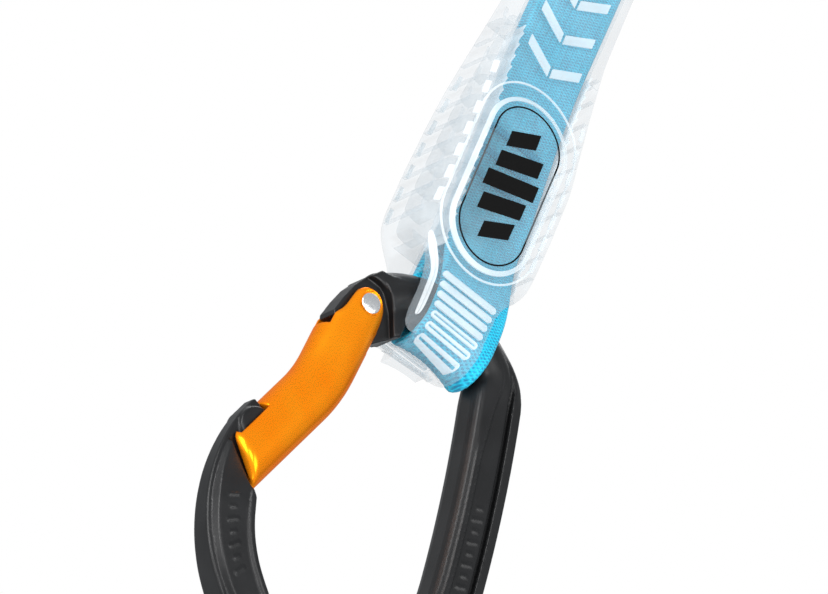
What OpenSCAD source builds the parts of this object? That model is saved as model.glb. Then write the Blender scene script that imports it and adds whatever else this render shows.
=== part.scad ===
// Climbing quickdraw: two forged carabiners joined by a sewn sling with a rubber keeper.
// Both carabiners are the same forging. Each is drawn in its own carabiner frame, whose
// origin is the middle of the sling bar, with x towards the spine and z towards the sling,
// and is then placed in the quickdraw's frame: +Z up, plates in XZ, gates on -X, and the
// origin where a bolt hanger bears in the upper crook.

/* [Carabiner body] */
// Width of the body across its bar, in the plane of the carabiner
body_w = 9.6; // [9:0.1:10]
// Thickness of the body
body_t = 9.4; // [9:0.1:9.6]
// Radius of the arched sling bar, to its centreline
arch_r = 20.2; // [19:0.1:21]
// Radius of the shoulder between bar and spine
shoulder_r = 6.8; // [6.5:0.1:7.5]
// Radius of the long bow of the spine
spine_r = 290; // [280:1:300]
// Radius of the lower spine
lower_spine_r = 74; // [70:1:76]
// Radius of the crook that holds the rope or the hanger
crook_r = 16.2; // [15.5:0.1:16.6]
// Radius of the slope from the crook to the gate side
ramp_r = 55; // [52:1:56]
// Radius of the gate side up to the nose
nose_side_r = 28.2; // [27.5:0.1:28.8]

/* [Gates] */
// Outer diameter of the tubular gates
gate_d = 10.7; // [10.4:0.1:10.8]
// Opening angle of the gates
gate_travel = 30; // [20:1:30]
// Height of the hinge rivet below the sling bar
rivet_drop = 9.1; // [9:0.1:9.3]
// Distance of the hinge rivet from the sling axis
rivet_side = 18; // [17.8:0.1:18.2]
// Diameter of the rivet's shank
rivet_d = 2.4; // [2.2:0.1:2.6]
// Travel of the plunger over the gate's whole opening angle
plunger_travel = 2.4; // [2:0.1:2.4]

/* [Sling] */
// Distance between the two sling bars
bar_distance = 155; // [150:1:165]
// Width of the webbing
webbing_w = 16; // [15:0.5:16]
// Thickness of one ply of webbing
ply_t = 2; // [1.8:0.1:2.1]
// Distance from the upper bar to the flexing point of the sling
flex_drop = 27; // [26:0.5:28]
// Offset of the sling's straight part from the middle of the bars, towards the gates
sling_offset = 3.8; // [2:0.1:4]

/* [Rubber keeper] */
// Greatest width of the keeper
keeper_w = 27.8; // [26:0.2:28]
// Width of its narrow lower strap
strap_w = 15.8; // [15:0.2:16]
// Width of its upper end
keeper_top_w = 22; // [20:0.5:23]
// Thickness of its grip
keeper_t = 16.8; // [16.8:0.1:17.4]
// Thickness of its upper end
keeper_top_t = 8; // [8:0.1:9]
// Height of its upper end above the lower bar
keeper_top_z = 92; // [88:1:94]

/* [Hidden] */
$fn = 64;

ANODISED = "#2b2c2e";
ORANGE = "#f28a0c";
GREY = "#6d7176";
STEEL = "#d5d8da";
BLUE = "#1aa0cf";
CLEAR = "#dfe9ee";
THREAD = "#f2f4f4";

function dir(a) = [cos(a), sin(a)];

// Outline of the body: arcs from the nose round the basket to the hinge end. Each row is
// the centreline radius and the polar angle at which the arc ends.
nose_angle = 166;
shelf_start = 170;
body_arcs = [
    [nose_side_r, 226.6], [ramp_r, 248], [crook_r, 348], [lower_spine_r, 369],
    [spine_r, 376.5], [shoulder_r, 414.9], [arch_r, 493]
];
arch_centre = [-0.8, 1.4 - arch_r];
LAST = len(body_arcs) - 1;
CROOK = 2;
SHOULDER = 5;
function arc_start(i) = i == 0 ? shelf_start : body_arcs[i - 1][1];
function arc_centre(i) = i == LAST ? arch_centre
    : arc_centre(i + 1) + (body_arcs[i + 1][0] - body_arcs[i][0]) * dir(body_arcs[i][1]);

crook_centre = arc_centre(CROOK);
crook_contact = crook_centre - [0, crook_r - body_w / 2];
sling_x = -crook_contact.x;
upper_bar_z = crook_contact.y;
lower_bar_z = upper_bar_z - bar_distance;

// Section of the forging: flanges, recessed web panels and a groove inside the outer rim
web_t = 8;
groove_t = 6.2;
rim = 1.4;
groove_w = 1;
flange_w = 3;
bar_d = body_t;
// Every other arc is drawn this much fuller and run into its neighbours, so that they join
seam = 0.02;
seam_overlap = 0.3;

// Nose and its seat in the gate
shelf_point = [-25.4, -50.1];
shelf_slope = 41.4;
neck_t = 3.6;
head_t = 5.6;
head_r = 3.6;
head_out = 1.1;
neck_in = 2.4;
nose_gap = 0.3;
nose_centre = arc_centre(0) + (nose_side_r + head_out) * dir(nose_angle);

// Hinge end
rivet_at = [-rivet_side, -rivet_drop];
tail_t = 4.8;
hinge_slot_t = 5.2;
cheek_clearance = 5.75;
tube_clearance = 5.65;
cam_r = 4.3;
hinge_slot_depth = 7.2;
pivot_clearance = 0.05;
head_seat = 4.9;
rivet_head_r = 2;
rivet_head_h = 0.6;
ear_r = 6;
ear_drop = 0.9;

// Gates: the bent gate leans, bends outwards and runs on straight
bent_lean = 2;
straight_lean = 11.55;
bend_start = 13.4;
bend_r = 30;
bend_angle = 16.7;
gate_reach = 48;
bore_d = 3.5;
bore_end = 19;
plunger_d = 3.2;
plunger_length = 6;
tip_gap = 0.5;
tip_d = 0.8;
tip_h = 1.6;
spring_r = 1.25;
spring_wire = 0.4;
spring_turns = 6;

// Sling: loop round the bar, then converging legs and a flat strap of two plies
loop_gap = 0.3;
loop_inner_r = bar_d / 2 + loop_gap;
loop_outer_r = loop_inner_r + ply_t;
loop_z = -2;
leg_z = 1;
join_z = 24;
strap_half = ply_t + 0.2;
flex_gap = 0.3;
tack_l = 12;
tack_w = 1.7;
tack_h = 0.4;
tack_pitch = 5;

// The loops sit nearer the middle of the bars than the straight part
loop_left = -7.5;
loop_right = 8;
loop_top_z = 5;
straight_z = 21;

keeper_gap = 0.3;
keeper_x = -4.4;
strap_right = 4.8;
bar_room = 5.6;
bar_room_z = 7.6;
block_room_x = -7.7;
keeper_channel = 2.9;
neck_z = 3.5;
full_z = 11;
taper_z = 30;
slim_z = 66;
label_h = 10;
label_w = 12;
label_t = 0.4;

module place_upper() {
    translate([sling_x, 0, upper_bar_z]) rotate([180, 0, 0]) children();
}

module place_lower() {
    translate([sling_x, 0, lower_bar_z]) children();
}

// Sweeps a section, with x outwards, round an arc in the plane of the carabiner
module sweep_arc(centre, r, from, to) {
    translate([centre.x, 0, centre.y]) rotate([90, 0, 0]) rotate([0, 0, from])
        rotate_extrude(angle = to - from) translate([r, 0]) children();
}

// A flat plate of the outline given by its children, in the plane of the carabiner
module plate(t) {
    rotate([90, 0, 0]) linear_extrude(t, center = true) children();
}

module drum(at, r, t) {
    translate([at.x, 0, at.y]) rotate([90, 0, 0]) cylinder(r = r, h = t, center = true);
}

module forged_section(grow) {
    w = body_w / 2 + grow;
    t = body_t / 2 + grow;
    web = web_t / 2 + grow;
    groove = groove_t / 2 + grow;
    half = [
        [-w, 0], [-w, t - 2], [-w + 1.2, t - 0.5], [-w + flange_w - 0.6, t],
        [-w + flange_w, web], [w - rim - groove_w, web], [w - rim - groove_w, groove],
        [w - rim, groove], [w - rim, t - 0.2], [w - 0.5, t - 0.2], [w, t - 1.2], [w, 0]
    ];
    back = [for (i = [len(half) - 2:-1:1]) [half[i].x, -half[i].y]];
    polygon(concat(half, back));
}

// One arc of the body: the forged section, or the round bar from the shoulder on
module body_arc(i) {
    r = body_arcs[i][0];
    full = i % 2;
    run_in = full * seam_overlap / r * 180 / PI;
    sweep_arc(arc_centre(i), r, arc_start(i) - run_in, body_arcs[i][1] + run_in)
        if (i < SHOULDER) forged_section(full * seam);
        else circle(d = bar_d + 2 * full * seam);
}

module nose() {
    difference() {
        union() {
            sweep_arc(arc_centre(0), nose_side_r, nose_angle, 188)
                translate([-neck_in, -neck_t / 2]) square([neck_in + body_w / 2 - 0.1, neck_t]);
            drum(nose_centre, head_r, head_t);
        }
        translate([shelf_point.x, 0, shelf_point.y]) rotate([0, shelf_slope, 0])
            translate([0, 0, -11]) cube([40, 20, 20], center = true);
    }
}

function cam_point(lean, a) =
    (cam_r + plunger_travel * max(0, a) / gate_travel) * dir(a - 90 - lean);

// The block that carries the rivet, drawn from the rivet's centre
module hinge_outline(lean) {
    cam = [for (a = [-12:6:gate_travel + 6]) cam_point(lean, a)];
    polygon(concat(
        [[2.2, 8.6], [-0.1, 8.2], [-1.7, 5.8], [-3.2, 2.8], [-4.2, -0.6], [-5, -4.2], [-4.9, -4.9],
         [-4.2, -5.2], [-3, -4.6]],
        cam,
        [[5.8, -4], [8.1, -1.6], [8.7, -1.2], [8.9, 1.2], [8.9, 7.4], [7, 10]]
    ));
}

// Room for the gate's two ears, and for its tube as it swings, from the rivet's centre
module cheek_pocket(lean) {
    circle(r = cheek_clearance);
    rotate(gate_travel - lean) translate([-3, -14]) square([3 + tube_clearance, 14]);
    translate([-12, -14]) square([15, 14]);
}

module hinge_block(lean) {
    translate([rivet_at.x, 0, rivet_at.y]) {
        plate(tail_t) hinge_outline(lean);
        plate(body_t) difference() {
            hinge_outline(lean);
            cheek_pocket(lean);
        }
    }
}

module carabiner_body(lean) {
    difference() {
        union() {
            difference() {
                union() for (i = [0:SHOULDER - 1]) body_arc(i);
                translate([shelf_point.x, 0, shelf_point.y]) rotate([0, shelf_slope, 0])
                    translate([0, 0, 10]) cube([30, 20, 20], center = true);
            }
            for (i = [SHOULDER:LAST]) body_arc(i);
            hinge_block(lean);
            nose();
        }
        drum(rivet_at, rivet_d / 2 + pivot_clearance, 20);
    }
}

// Half-plane cut of the gate's free end, parallel to the body's shelf
module gate_end_cut() {
    translate([shelf_point.x, 0, shelf_point.y]) rotate([0, shelf_slope, 0])
        translate([0, 0, 0.4 - 20]) cube([60, 20, 40], center = true);
}

// Slots swept round the rivet, so that the nose leaves the gate as it opens
module nose_slots() {
    reach = norm(nose_centre - rivet_at);
    at = atan2(nose_centre.y - rivet_at.y, nose_centre.x - rivet_at.x);
    slot_r = head_r + 0.6;
    sweep_arc(rivet_at, reach, at - 40, at)
        square([2 * slot_r + 0.2, head_t + 2 * nose_gap], center = true);
    drum(nose_centre, slot_r, head_t + 2 * nose_gap);
    sweep_arc(rivet_at, reach + 2, at - 40, at + 7.5)
        translate([0, -neck_t / 2 - nose_gap]) square([20, neck_t + 2 * nose_gap]);
}

module gate_cuts() {
    translate([-20, -hinge_slot_t / 2, -hinge_slot_depth]) cube([40, hinge_slot_t, 20]);
    translate([0, 0, -bore_end]) cylinder(d = bore_d, h = bore_end);
    rotate([90, 0, 0]) cylinder(d = rivet_d, h = 20, center = true);
    for (side = [-1, 1])
        translate([0, side * (head_seat + 2), 0]) rotate([90, 0, 0])
            cylinder(r = rivet_head_r + 0.15, h = 4, center = true);
}

module ear_limit() {
    translate([0, 0, -ear_drop]) {
        rotate([90, 0, 0]) cylinder(r = ear_r, h = 20, center = true);
        translate([-20, -10, -60]) cube([40, 20, 60]);
    }
}

module bent_tube() {
    run_in = seam_overlap / bend_r * 180 / PI;
    translate([0, 0, -bend_start]) {
        cylinder(d = gate_d, h = bend_start + ear_r + 1);
        sweep_arc([-bend_r, 0], bend_r, -bend_angle - run_in, run_in)
            circle(d = gate_d + 2 * seam);
        translate([-bend_r, 0, 0]) rotate([0, bend_angle, 0]) translate([bend_r, 0, -26])
            cylinder(d = gate_d, h = 26);
    }
}

module straight_tube() {
    translate([0, 0, -gate_reach]) cylinder(d = gate_d, h = gate_reach + ear_r + 1);
}

module gate(lean) {
    difference() {
        translate([rivet_at.x, 0, rivet_at.y]) rotate([0, lean, 0]) difference() {
            intersection() {
                children();
                ear_limit();
            }
            gate_cuts();
        }
        nose_slots();
        gate_end_cut();
    }
}

module rivet() {
    dome_r = (pow(rivet_head_r, 2) + pow(rivet_head_h, 2)) / (2 * rivet_head_h);
    drum(rivet_at, rivet_d / 2, 2 * head_seat);
    for (side = [-1, 1])
        translate([rivet_at.x, 0, rivet_at.y]) intersection() {
            translate([0, side * (head_seat + rivet_head_h - dome_r), 0]) sphere(r = dome_r);
            translate([0, side * (head_seat + 2), 0]) cube([8, 4, 8], center = true);
        }
}

module along_gate(lean) {
    translate([rivet_at.x, 0, rivet_at.y]) rotate([0, lean, 0]) children();
}

module plunger(lean) {
    along_gate(lean) translate([0, 0, -cam_r - tip_gap - plunger_length]) {
        cylinder(d = plunger_d, h = plunger_length - tip_h);
        translate([0, 0, plunger_length - tip_h])
            cylinder(d1 = plunger_d, d2 = tip_d, h = tip_h);
    }
}

function coil_point(t, a, pitch) =
    let (r = spring_r + spring_wire / 2 * cos(a))
    [r * cos(360 * t), r * sin(360 * t), pitch * t + spring_wire / 2 * sin(a)];

module coil(turns, pitch) {
    sides = 8;
    steps = 16 * turns;
    points = [for (i = [0:steps], k = [0:sides - 1]) coil_point(i / 16, 360 * k / sides, pitch)];
    walls = [for (i = [0:steps - 1], k = [0:sides - 1])
        let (n = (k + 1) % sides)
        [i * sides + k, (i + 1) * sides + k, (i + 1) * sides + n, i * sides + n]];
    first = [for (k = [0:sides - 1]) k];
    last = [for (k = [sides - 1:-1:0]) steps * sides + k];
    polyhedron(points, concat([first], walls, [last]));
}

module gate_spring(lean) {
    top = -cam_r - tip_gap - plunger_length - spring_wire / 2 - 0.05;
    bottom = -bore_end + spring_wire / 2 + 0.05;
    along_gate(lean) translate([0, 0, bottom]) coil(spring_turns, (top - bottom) / spring_turns);
}

// Outline of the looped sling across its width, with y as x and z as y, grown all round
module loop_outline(grow, top) {
    translate([0, loop_z]) circle(r = loop_outer_r + grow);
    outer = loop_outer_r + grow;
    half = strap_half + grow;
    polygon([
        [outer, loop_z], [outer, leg_z], [half, join_z], [half, top],
        [-half, top], [-half, join_z], [-outer, leg_z], [-outer, loop_z]
    ]);
}

module loop_hollow() {
    translate([0, loop_z]) circle(r = loop_inner_r);
    polygon([
        [loop_inner_r, loop_z], [loop_inner_r, leg_z], [0, join_z - 2],
        [-loop_inner_r, leg_z], [-loop_inner_r, loop_z]
    ]);
}

// Extrudes an outline in y and z along x
module across(w) {
    rotate([90, 0, 90]) linear_extrude(w, center = true) children();
}

// Outline of the webbing from the front: the loop, then the offset straight part
module webbing_front(grow) {
    left = -sling_offset - webbing_w / 2 - grow;
    right = -sling_offset + webbing_w / 2 + grow;
    polygon([
        [loop_right + grow, -12], [loop_right + grow, loop_top_z], [right, straight_z],
        [right, bar_distance], [left, bar_distance], [left, straight_z],
        [loop_left - grow, loop_top_z], [loop_left - grow, -12]
    ]);
}

module looped_strap(top, rounded) {
    intersection() {
        plate(40) webbing_front(0);
        across(60) difference() {
            union() {
                loop_outline(0, top);
                if (rounded) translate([0, top]) circle(r = strap_half);
            }
            loop_hollow();
        }
    }
}

module tack_group(rows) {
    for (i = [0:rows - 1], side = [-1, 1])
        translate([-sling_offset, side * (strap_half + tack_h / 2), i * tack_pitch])
            cube([tack_l, tack_h, tack_w], center = true);
}

module keeper_front() {
    w = keeper_w / 2;
    t = keeper_top_w / 2;
    left = strap_right - strap_w;
    bottom = loop_z - keeper_t / 2;
    polygon([
        [strap_right, bottom], [strap_right, neck_z], [keeper_x + w, full_z],
        [keeper_x + w, taper_z], [keeper_x + t, slim_z], [keeper_x + t, keeper_top_z],
        [keeper_x - t, keeper_top_z], [keeper_x - t, slim_z], [keeper_x - w, taper_z],
        [keeper_x - w, full_z], [left - 2, neck_z + 3], [left, neck_z], [left, bottom]
    ]);
}

module keeper_side() {
    h = keeper_t / 2;
    t = keeper_top_t / 2;
    translate([0, loop_z]) circle(r = h);
    polygon([
        [h, loop_z], [h, taper_z], [t, slim_z], [t, keeper_top_z],
        [-t, keeper_top_z], [-t, slim_z], [-h, taper_z], [-h, loop_z]
    ]);
}

module upper_carabiner_body() {
    color(ANODISED) place_upper() carabiner_body(straight_lean);
}

module upper_gate() {
    color(GREY) place_upper() gate(straight_lean) straight_tube();
}

module upper_gate_rivet() {
    color(STEEL) place_upper() rivet();
}

module upper_gate_plunger() {
    color(STEEL) place_upper() plunger(straight_lean);
}

module upper_gate_spring() {
    color(STEEL) place_upper() gate_spring(straight_lean);
}

module lower_carabiner_body() {
    color(ANODISED) place_lower() carabiner_body(bent_lean);
}

module lower_gate() {
    color(ORANGE) place_lower() gate(bent_lean) bent_tube();
}

module lower_gate_rivet() {
    color(STEEL) place_lower() rivet();
}

module lower_gate_plunger() {
    color(STEEL) place_lower() plunger(bent_lean);
}

module lower_gate_spring() {
    color(STEEL) place_lower() gate_spring(bent_lean);
}

// The loop ends in a half round about the flexing line
module sling_upper_loop() {
    color(BLUE) place_upper() looped_strap(flex_drop, true);
}

module sling_webbing() {
    color(BLUE) place_lower() looped_strap(bar_distance - flex_drop - strap_half - flex_gap, false);
}

module upper_bar_tacks() {
    color(THREAD) place_lower() translate([0, 0, bar_distance - flex_drop - 11]) tack_group(2);
}

module middle_bar_tacks() {
    color(THREAD) place_lower() translate([0, 0, keeper_top_z + 4]) tack_group(2);
}

module lower_bar_tacks() {
    color(THREAD) place_lower() translate([0, 0, join_z + 6]) tack_group(3);
}

module rubber_keeper() {
    color(CLEAR) place_lower() difference() {
        intersection() {
            plate(40) keeper_front();
            across(60) keeper_side();
        }
        intersection() {
            plate(40) webbing_front(keeper_gap);
            across(60) {
                loop_outline(keeper_gap, join_z + 2);
                translate([-keeper_channel, join_z]) square([2 * keeper_channel, 100]);
            }
        }
        translate([-30, -bar_room, loop_z]) cube([60, 2 * bar_room, bar_room_z - loop_z]);
        translate([block_room_x - 20, -bar_room, -20]) cube([20, 2 * bar_room, 20 + bar_room_z]);
        translate([-30, -3, 10]) cube([60, 6, 5]);
    }
}

module sling_label() {
    color(THREAD) place_lower()
        translate([-sling_offset - label_w / 2, strap_half, keeper_top_z + 12])
            cube([label_w, label_t, label_h]);
}

upper_carabiner_body();
upper_gate();
upper_gate_rivet();
upper_gate_plunger();
upper_gate_spring();
lower_carabiner_body();
lower_gate();
lower_gate_rivet();
lower_gate_plunger();
lower_gate_spring();
sling_upper_loop();
sling_webbing();
upper_bar_tacks();
middle_bar_tacks();
lower_bar_tacks();
rubber_keeper();
sling_label();
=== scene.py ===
"""Looks of the climbing quickdraw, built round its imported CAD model.

Shapes are worked out in millimetres, in the frame of one carabiner (origin in the middle of its
sling bar, x towards the spine, z towards the sling), and then placed by the CAD rivets.
Forged and moulded pieces are distance fields, turned into meshes by contour(). The webbing,
stitching, springs and rivets are swept or turned directly."""

import math

import bpy
import numpy as np
from mathutils import Matrix, Vector


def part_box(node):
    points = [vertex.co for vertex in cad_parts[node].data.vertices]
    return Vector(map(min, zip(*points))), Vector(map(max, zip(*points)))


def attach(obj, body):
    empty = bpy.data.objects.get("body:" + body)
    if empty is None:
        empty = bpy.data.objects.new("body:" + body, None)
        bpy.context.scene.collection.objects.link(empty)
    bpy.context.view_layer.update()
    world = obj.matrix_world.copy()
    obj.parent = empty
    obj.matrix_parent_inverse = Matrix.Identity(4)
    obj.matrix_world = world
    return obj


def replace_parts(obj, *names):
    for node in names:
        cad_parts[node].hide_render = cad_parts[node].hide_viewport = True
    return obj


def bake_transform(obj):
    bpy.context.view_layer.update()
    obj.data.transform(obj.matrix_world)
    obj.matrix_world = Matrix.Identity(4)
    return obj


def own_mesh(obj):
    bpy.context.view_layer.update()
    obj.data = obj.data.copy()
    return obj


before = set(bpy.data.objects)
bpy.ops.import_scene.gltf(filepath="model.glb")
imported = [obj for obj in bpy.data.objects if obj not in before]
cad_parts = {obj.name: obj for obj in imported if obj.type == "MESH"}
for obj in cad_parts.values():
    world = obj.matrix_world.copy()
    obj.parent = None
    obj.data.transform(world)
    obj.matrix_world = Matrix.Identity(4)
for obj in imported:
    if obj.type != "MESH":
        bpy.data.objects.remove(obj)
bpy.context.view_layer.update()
MM = 0.001

# -------- frames of the two carabiners

RIVET = (-18.0, -9.1)


def centre(node):
    low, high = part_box(node)
    return (low + high) / 2


class Place:
    """The frame of one carabiner: up is 1 for the lower one and -1 for the upper one, turned over."""

    def __init__(self, rivet_node, up):
        at = centre(rivet_node)
        self.up = up
        self.origin = np.array([at.x - RIVET[0] * MM, 0.0, at.z - up * RIVET[1] * MM])

    def world(self, points):
        points = np.asarray(points, float)
        return self.origin + points * (np.array([1.0, self.up, self.up]) * MM)


LOWER = Place("lower_gate_rivet", 1)
UPPER = Place("upper_gate_rivet", -1)
BAR_DISTANCE = (UPPER.origin[2] - LOWER.origin[2]) / MM

# -------- camera, light and floor


def make_camera():
    right = Vector((0.7343, -0.578, 0.3559)).normalized()
    up = Vector((-0.5757, -0.252, 0.7777))
    up = (up - up.dot(right) * right).normalized()
    back = right.cross(up)
    head = Vector(LOWER.world([RIVET[0], -5.2, RIVET[1]]))
    aim = head + right * (7.57 * MM) + up * (1.08 * MM)
    distance, width = 1.6, 0.1492
    data = bpy.data.cameras.new("camera")
    data.sensor_width = 36.0
    data.lens = data.sensor_width * distance / width
    data.clip_start, data.clip_end = 0.05, 20.0
    camera = bpy.data.objects.new("camera", data)
    bpy.context.scene.collection.objects.link(camera)
    axes = Matrix((right, up, back)).transposed().to_4x4()
    camera.matrix_world = Matrix.Translation(aim + back * distance) @ axes
    bpy.context.scene.camera = camera
    return aim, right, up, back


def area_light(name, at, aim, size, power):
    data = bpy.data.lights.new(name, "AREA")
    data.shape = "RECTANGLE"
    data.size, data.size_y = size
    data.energy = power
    light = bpy.data.objects.new(name, data)
    bpy.context.scene.collection.objects.link(light)
    light.location = at
    light.rotation_mode = "QUATERNION"
    light.rotation_quaternion = (aim - at).to_track_quat("-Z", "Y")


def background(tree, colour, strength):
    made = tree.nodes.new("ShaderNodeBackground")
    made.inputs["Color"].default_value = (*colour, 1)
    made.inputs["Strength"].default_value = strength
    return made.outputs[0]


def make_light(aim, right, up, back):
    """Five soft lights in an even studio, which is pure white where the camera sees it directly."""
    area_light("key", aim + back * 0.5 - right * 0.55 + up * 0.45, aim, (0.35, 0.8), 8.4)
    area_light("fill", aim + back * 0.55 + right * 0.6 - up * 0.1, aim, (0.6, 0.6), 5.2)
    area_light("front", aim + back * 0.9 + up * 0.2, aim, (0.4, 0.4), 4.0)
    area_light("top", aim + Vector((0.1, 0.25, 0.75)), aim, (0.7, 0.5), 4.0)
    area_light("low", aim + back * 0.3 - up * 0.6 - right * 0.1, aim, (0.5, 0.3), 1.4)
    world = bpy.data.worlds.new("studio")
    bpy.context.scene.world = world
    world.use_nodes = True
    tree = world.node_tree
    tree.nodes.clear()
    path = tree.nodes.new("ShaderNodeLightPath")
    mix = tree.nodes.new("ShaderNodeMixShader")
    out = tree.nodes.new("ShaderNodeOutputWorld")
    tree.links.new(path.outputs["Is Camera Ray"], mix.inputs[0])
    tree.links.new(background(tree, (0.94, 0.97, 1), 0.5), mix.inputs[1])
    tree.links.new(background(tree, (1, 1, 1), 1.0), mix.inputs[2])
    tree.links.new(mix.outputs[0], out.inputs["Surface"])
    bpy.context.scene.view_settings.view_transform = "Standard"
    bpy.context.scene.cycles.transparent_max_bounces = 32


# -------- materials


class Shader:
    """A material of one Principled node, with short calls for the nodes that feed it."""

    def __init__(self, name, colour, roughness, metallic=0.0, **sockets):
        self.material = bpy.data.materials.new(name)
        self.material.use_nodes = True
        self.tree = self.material.node_tree
        self.main = self.tree.nodes["Principled BSDF"]
        self.main.inputs["Base Color"].default_value = (*colour, 1)
        self.main.inputs["Roughness"].default_value = roughness
        self.main.inputs["Metallic"].default_value = metallic
        for socket, value in sockets.items():
            self.main.inputs[socket.replace("_", " ")].default_value = value
        self.place = self.node("ShaderNodeTexCoord").outputs["Object"]

    def node(self, kind, **settings):
        made = self.tree.nodes.new(kind)
        for name, value in settings.items():
            setattr(made, name, value)
        return made

    def link(self, source, target):
        self.tree.links.new(source, target)

    def noise(self, per_mm, detail=3.0, stretch=(1, 1, 1)):
        scaled = self.node("ShaderNodeMapping")
        scaled.inputs["Scale"].default_value = [s * per_mm / MM for s in stretch]
        self.link(self.place, scaled.inputs["Vector"])
        texture = self.node("ShaderNodeTexNoise")
        texture.inputs["Scale"].default_value = 1.0
        texture.inputs["Detail"].default_value = detail
        self.link(scaled.outputs[0], texture.inputs["Vector"])
        return texture.outputs["Fac"]

    def bands(self, axis, pitch):
        texture = self.node("ShaderNodeTexWave", bands_direction=axis)
        texture.inputs["Scale"].default_value = math.pi / 10 / (pitch * MM)
        self.link(self.place, texture.inputs["Vector"])
        return texture.outputs["Fac"]

    def checks(self, width):
        """Rows of short stitches, each row shifted by half a stitch."""
        total = self.combine("ADD", self.bands("X", 2 * width), self.bands("Z", width))
        return self.combine("PINGPONG", total, 1.0)

    def combine(self, operation, *values):
        """A math node of numbers and of other nodes' outputs."""
        made = self.node("ShaderNodeMath", operation=operation)
        for socket, value in zip(made.inputs, values):
            if isinstance(value, float):
                socket.default_value = value
            else:
                self.link(value, socket)
        return made.outputs[0]

    def feed(self, socket, value, *stops):
        """Leads a value to a socket through a ramp of (position, colour or grey) stops."""
        made = self.node("ShaderNodeValToRGB")
        elements = made.color_ramp.elements
        while len(elements) < len(stops):
            elements.new(0.5)
        for element, (at, colour) in zip(elements, stops):
            element.position = at
            element.color = (*colour, 1) if hasattr(colour, "__len__") else (colour, colour, colour, 1)
        self.link(value, made.inputs[0])
        self.link(made.outputs[0], self.main.inputs[socket])

    def bump(self, value, depth_mm):
        made = self.node("ShaderNodeBump")
        made.inputs["Distance"].default_value = depth_mm * MM
        made.inputs["Strength"].default_value = 1.0
        self.link(value, made.inputs["Height"])
        previous = self.main.inputs["Normal"]
        if previous.is_linked:
            self.link(previous.links[0].from_socket, made.inputs["Normal"])
        self.link(made.outputs[0], previous)


def anodised(name, dark, light, roughness, metallic, grain, wave, gloss=0.34, rim=(1, 1, 1)):
    s = Shader(name, light, roughness, metallic, Specular_IOR_Level=gloss, Specular_Tint=(*rim, 1))
    s.feed("Base Color", s.noise(0.12, 4.0), (0.3, dark), (0.7, light))
    fine = s.noise(9.0, 2.0)
    s.feed("Roughness", fine, (0.2, roughness - 0.05), (0.8, roughness + 0.07))
    s.bump(fine, grain)
    s.bump(s.noise(0.6, 3.0), wave)
    return s.material


def steel(name, colour, roughness):
    s = Shader(name, colour, roughness, 1.0)
    turned = s.noise(2.0, 3.0, (1, 0.2, 1))
    s.feed("Roughness", turned, (0.3, roughness - 0.04), (0.8, roughness + 0.08))
    s.bump(turned, 0.004)
    return s.material


def fabric(name, dark, light, weave):
    """Cloth of coloured strands. weave is the width of one stitch in mm."""
    s = Shader(name, light, 0.6, 0.0, Sheen_Weight=0.08, Sheen_Roughness=0.4)
    stitches = s.checks(weave)
    blotch = s.noise(0.5, 4.0, (1, 1, 0.6))
    shade = s.combine("MULTIPLY_ADD", blotch, 0.6, s.combine("MULTIPLY", stitches, 0.55))
    s.feed("Base Color", shade, (0.28, dark), (0.72, light))
    s.bump(s.noise(3.4, 3.0, (1.0, 1.0, 0.3)), 0.1)
    s.bump(stitches, 0.14)
    return s.material


def rubber(name, dark, light, alpha):
    s = Shader(name, light, 0.3, 0.0, IOR=1.41, Alpha=alpha)
    s.feed("Base Color", s.noise(0.16, 3.0), (0.3, dark), (0.7, light))
    s.bump(s.noise(1.4, 3.0), 0.03)
    return s.material


def plain(name, dark, light, roughness, per_mm, depth, gloss=0.5, glow=0.0):
    s = Shader(name, light, roughness, 0.0, Specular_IOR_Level=gloss, Emission_Strength=glow)
    grain = s.noise(per_mm, 3.0)
    s.feed("Base Color", grain, (0.3, dark), (0.7, light))
    s.bump(grain, depth)
    return s.material


def make_materials():
    made = [
        anodised("black_anodised", (0.006, 0.0061, 0.0066), (0.0105, 0.0107, 0.0114), roughness=0.36,
                 metallic=0.0, grain=0.005, wave=0.02, gloss=0.3),
        anodised("orange_anodised", (1.0, 0.24, 0.004), (1.0, 0.31, 0.008), roughness=0.27,
                 metallic=0.7, grain=0.0012, wave=0.004, rim=(1.0, 0.36, 0.04)),
        anodised("grey_anodised", (0.17, 0.18, 0.195), (0.23, 0.24, 0.255), roughness=0.3,
                 metallic=0.85, grain=0.0012, wave=0.004),
        steel("rivet_steel", (0.86, 0.87, 0.88), 0.24),
        steel("spring_steel", (0.6, 0.61, 0.62), 0.26),
        fabric("webbing", (0.0, 0.18, 0.35), (0.0, 0.49, 0.71), weave=0.65),
        fabric("thread", (0.72, 0.76, 0.78), (0.92, 0.94, 0.95), weave=0.3),
        fabric("blue_thread", (0.02, 0.26, 0.46), (0.05, 0.44, 0.66), weave=0.3),
        rubber("clear_rubber", (0.37, 0.43, 0.47), (0.53, 0.59, 0.63), alpha=0.15),
        # whiter, less clear rubber for the moulding's raised lines: partly thicker rubber, partly painted
        # highlight
        rubber("milky_rubber_painted_highlight", (0.78, 0.84, 0.87), (0.88, 0.92, 0.94), alpha=0.36),
        plain("label", (0.78, 0.78, 0.76), (0.9, 0.9, 0.88), 0.7, per_mm=3.0, depth=0.06),
        plain("print", (0.002, 0.002, 0.002), (0.004, 0.004, 0.004), 0.75, per_mm=4.0, depth=0.01,
              gloss=0.1),
        plain("floor", (0.82, 0.83, 0.84), (0.86, 0.87, 0.88), 0.8, per_mm=0.01, depth=0.02,
              glow=0.22),
    ]
    # a name that one of the CAD's materials already has gets a number from Blender
    return {material.name.split(".")[0]: material for material in made}


# -------- distance fields, in millimetres


def smooth_min(a, b, k):
    h = np.clip(0.5 + 0.5 * (b - a) / k, 0, 1)
    return b + (a - b) * h - k * h * (1 - h)


def smooth_max(a, b, k):
    return -smooth_min(-a, -b, k)


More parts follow.
